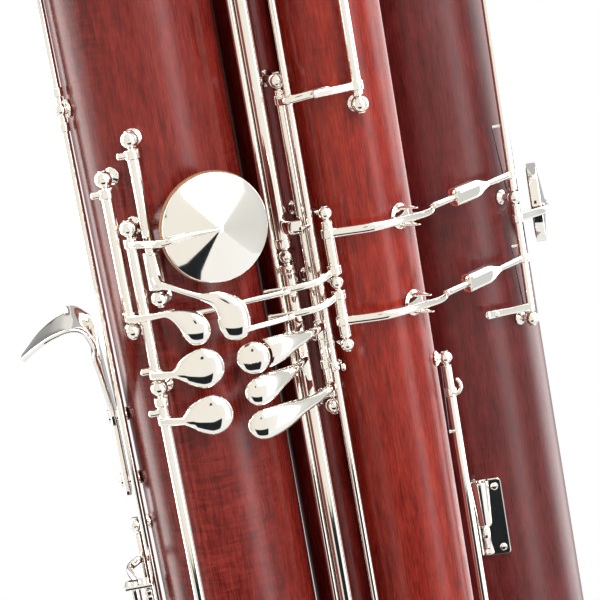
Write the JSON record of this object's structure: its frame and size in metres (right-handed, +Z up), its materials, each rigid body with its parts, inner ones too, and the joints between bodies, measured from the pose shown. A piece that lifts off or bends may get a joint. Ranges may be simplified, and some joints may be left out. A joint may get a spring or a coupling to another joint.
{
  "type": "contrabassoon",
  "caption": "Dark red contrabassoon with folded wooden joints held side by side, silver-plated pad keys linked by long rods and cross levers, a bell, a curved bocal and an end pin.",
  "frame": {"origin": "middle of the flat end of the end pin's rubber tip, where it stands on the floor, below the middle of the large bottom bow", "axes": "+Z up along the joints towards the bell, -Y towards the side that carries the thumb keys, +X from the bass joint to the long joint"},
  "size_m": [0.2023, 0.2021, 1.4803],
  "materials": {
    "wood": "dark red stained maple, clear satin-gloss lacquer",
    "silver": "bright silver plate",
    "pad": "tan leather",
    "steel": "drawn steel",
    "rubber": "matt black"
  },
  "bodies": {
    "instrument": {"bass_joint": "wood", "wing_joint": "wood", "middle_joint": "wood", "long_joint": "wood", "bell": "wood", "top_bow": "silver", "large_bottom_bow": "silver", "small_bottom_bow": "silver", "lower_yoke": "silver", "upper_yoke": "silver", "slide_receiver": "silver", "low_b_flat_guide_post": "silver", "hand_rest": "silver", "strap_bracket": "silver", "low_d_axle": "silver", "low_e_flat_axle": "silver", "low_c_axle": "silver", "low_b_flat_axle": "silver", "low_c_sharp_axle": "silver", "thumb_axle": "silver", "f_sharp_axle": "silver", "cross_lever_axle": "silver", "side_axle": "silver", "high_octave_axle": "silver", "b_flat_vent_axle": "silver", "upper_lever_guide": "silver", "lower_lever_guide": "silver"},
    "low_d": {"low_d_key": "silver"},
    "low_e_flat": {"low_e_flat_key": "silver"},
    "low_c": {"low_c_key": "silver", "low_c_pad": "pad"},
    "low_b": {"low_b_key": "silver", "low_b_pad": "pad"},
    "low_b_flat": {"low_b_flat_key": "silver", "low_b_flat_pad": "pad"},
    "rocker": {"adjusting_rocker": "silver"},
    "low_c_sharp_helper": {"low_c_sharp_helper_key": "silver", "low_c_sharp_helper_pad": "pad"},
    "low_c_sharp": {"low_c_sharp_key": "silver", "low_c_sharp_pad": "pad"},
    "octave": {"octave_key": "silver"},
    "high_octave_thumb": {"high_octave_touch": "silver"},
    "f_sharp_thumb": {"f_sharp_thumb_key": "silver"},
    "f_sharp": {"f_sharp_key": "silver"},
    "upper_cross": {"upper_cross_lever": "silver"},
    "lower_cross": {"lower_cross_lever": "silver"},
    "high_side": {"high_side_key": "silver", "high_side_pad": "pad"},
    "low_side": {"low_side_key": "silver", "low_side_pad": "pad"},
    "high_octave": {"high_octave_key": "silver"},
    "b_flat_vent": {"b_flat_vent_key": "silver", "b_flat_vent_pad": "pad"},
    "water": {"water_key": "silver"},
    "slide": {"tuning_slide": "silver"},
    "mouthpipe": {"bocal": "silver"},
    "slide_screw": {"slide_clamp_screw": "silver"},
    "pin": {"end_pin": "steel", "end_pin_tip": "rubber"},
    "pin_screw": {"end_pin_thumbscrew": "silver"}
  },
  "joints": [
    {"name": "low_d_hinge", "type": "hinge", "parent": "instrument", "child": "low_d", "pos_m": [-0.05824, -0.05352, 0.8], "axis": [0, 0, 1], "range_deg": [0, 3.25], "stiffness_Nm_per_rad": 0.06, "springref_deg": -22.92},
    {"name": "low_e_flat_hinge", "type": "hinge", "parent": "instrument", "child": "low_e_flat", "pos_m": [-0.07018, -0.04853, 0.79], "axis": [0, 0, 1], "range_deg": [0, 2.5], "stiffness_Nm_per_rad": 0.06, "springref_deg": -22.92},
    {"name": "low_c_hinge", "type": "hinge", "parent": "instrument", "child": "low_c", "pos_m": [-0.06466, -0.0515, 0.775], "axis": [0, 0, 1], "range_deg": [0, 9.6], "stiffness_Nm_per_rad": 0.06, "springref_deg": -22.92},
    {"name": "low_b_hinge", "type": "hinge", "parent": "instrument", "child": "low_b", "pos_m": [-0.06466, -0.0515, 0.65], "axis": [0, 0, 1], "range_deg": [0, 9], "stiffness_Nm_per_rad": 0.06, "springref_deg": -22.92},
    {"name": "low_b_flat_hinge", "type": "hinge", "parent": "instrument", "child": "low_b_flat", "pos_m": [-0.08185, -0.03055, 0.85], "axis": [0, 0, 1], "range_deg": [0, 8], "stiffness_Nm_per_rad": 0.06, "springref_deg": -22.92},
    {"name": "rocker_hinge", "type": "hinge", "parent": "instrument", "child": "rocker", "pos_m": [-0.0852, -0.02596, 0.67], "axis": [0, 0, 1], "range_deg": [0, 4]},
    {"name": "octave_hinge", "type": "hinge", "parent": "instrument", "child": "octave", "pos_m": [-0.01601, -0.02988, 0.76], "axis": [0, 0, -1], "range_deg": [0, 6], "stiffness_Nm_per_rad": 0.05, "springref_deg": -22.92},
    {"name": "high_octave_thumb_hinge", "type": "hinge", "parent": "instrument", "child": "high_octave_thumb", "pos_m": [-0.00419, -0.03495, 0.8], "axis": [0, 0, -1], "range_deg": [0, 4.4], "stiffness_Nm_per_rad": 0.05, "springref_deg": -22.92},
    {"name": "high_octave_hinge", "type": "hinge", "parent": "instrument", "child": "high_octave", "pos_m": [0.0228, -0.0448, 0.9], "axis": [0, 0, 1], "range_deg": [0, 4.85]},
    {"name": "low_c_sharp_hinge", "type": "hinge", "parent": "instrument", "child": "low_c_sharp", "pos_m": [-0.01181, -0.0309, 0.65], "axis": [0, 0, -1], "range_deg": [0, 7], "stiffness_Nm_per_rad": 0.06, "springref_deg": -22.92},
    {"name": "f_sharp_thumb_hinge", "type": "hinge", "parent": "instrument", "child": "f_sharp_thumb", "pos_m": [-0.00419, -0.03495, 0.74], "axis": [0, 0, -1], "range_deg": [0, 6], "stiffness_Nm_per_rad": 0.05, "springref_deg": -22.92},
    {"name": "f_sharp_hinge", "type": "hinge", "parent": "instrument", "child": "f_sharp", "pos_m": [-0.00145, -0.04001, 0.76], "axis": [0, 0, -1], "range_deg": [0, 12.31]},
    {"name": "low_c_sharp_helper_hinge", "type": "hinge", "parent": "instrument", "child": "low_c_sharp_helper", "pos_m": [-0.01181, -0.0309, 0.88], "axis": [0, 0, 1], "range_deg": [0, 7.09]},
    {"name": "upper_cross_hinge", "type": "hinge", "parent": "instrument", "child": "upper_cross", "pos_m": [0.00436, -0.04299, 0.78], "axis": [0, 0, -1], "range_deg": [0, 6.26]},
    {"name": "lower_cross_hinge", "type": "hinge", "parent": "instrument", "child": "lower_cross", "pos_m": [0.00436, -0.04299, 0.76], "axis": [0, 0, -1], "range_deg": [0, 6.31]},
    {"name": "high_side_hinge", "type": "hinge", "parent": "instrument", "child": "high_side", "pos_m": [0.07599, -0.00763, 0.86], "axis": [0, 0, 1], "range_deg": [0, 7.01]},
    {"name": "low_side_hinge", "type": "hinge", "parent": "instrument", "child": "low_side", "pos_m": [0.07599, -0.00763, 0.76], "axis": [0, 0, 1], "range_deg": [0, 6.99]},
    {"name": "b_flat_vent_hinge", "type": "hinge", "parent": "instrument", "child": "b_flat_vent", "pos_m": [0.03972, -0.02585, 0.65], "axis": [0, 0, -1], "range_deg": [0, 12], "stiffness_Nm_per_rad": 0.05, "springref_deg": -22.92},
    {"name": "water_hinge", "type": "hinge", "parent": "instrument", "child": "water", "pos_m": [0.00334, -0.02512, 0.27457], "axis": [-1, 0, 0], "range_deg": [0, 15], "stiffness_Nm_per_rad": 0.02, "springref_deg": -28.65},
    {"name": "tuning_slide_draw", "type": "slide", "parent": "instrument", "child": "slide", "axis": [0, 0, 1], "range_m": [0, 0.03]},
    {"name": "bocal_swivel", "type": "hinge", "parent": "slide", "child": "mouthpipe", "pos_m": [-0.01111, -0.00741, 1.19], "axis": [0, 0, 1], "range_deg": [-2, 30]},
    {"name": "slide_screw_turn", "type": "hinge", "parent": "instrument", "child": "slide_screw", "pos_m": [-0.01111, -0.02741, 1.1263], "axis": [0, -1, 0], "continuous": true},
    {"name": "end_pin_draw", "type": "slide", "parent": "instrument", "child": "pin", "axis": [0, 0, -1], "range_m": [0, 0.035]},
    {"name": "end_pin_screw_turn", "type": "hinge", "parent": "instrument", "child": "pin_screw", "pos_m": [0, -0.024, 0.09679], "axis": [0, -1, 0], "continuous": true}
  ],
  "couplings": [
    {"joint": "rocker_hinge", "follows": "low_b_flat_hinge", "ratio": 0.5},
    {"joint": "high_octave_hinge", "follows": "high_octave_thumb_hinge", "ratio": 1.1},
    {"joint": "f_sharp_hinge", "follows": "f_sharp_thumb_hinge", "ratio": 2.05},
    {"joint": "low_c_sharp_helper_hinge", "follows": "f_sharp_thumb_hinge", "ratio": 1.18},
    {"joint": "upper_cross_hinge", "follows": "low_e_flat_hinge", "ratio": 2.5},
    {"joint": "high_side_hinge", "follows": "low_e_flat_hinge", "ratio": 2.8},
    {"joint": "lower_cross_hinge", "follows": "low_d_hinge", "ratio": 1.94},
    {"joint": "low_side_hinge", "follows": "low_d_hinge", "ratio": 2.15}
  ]
}
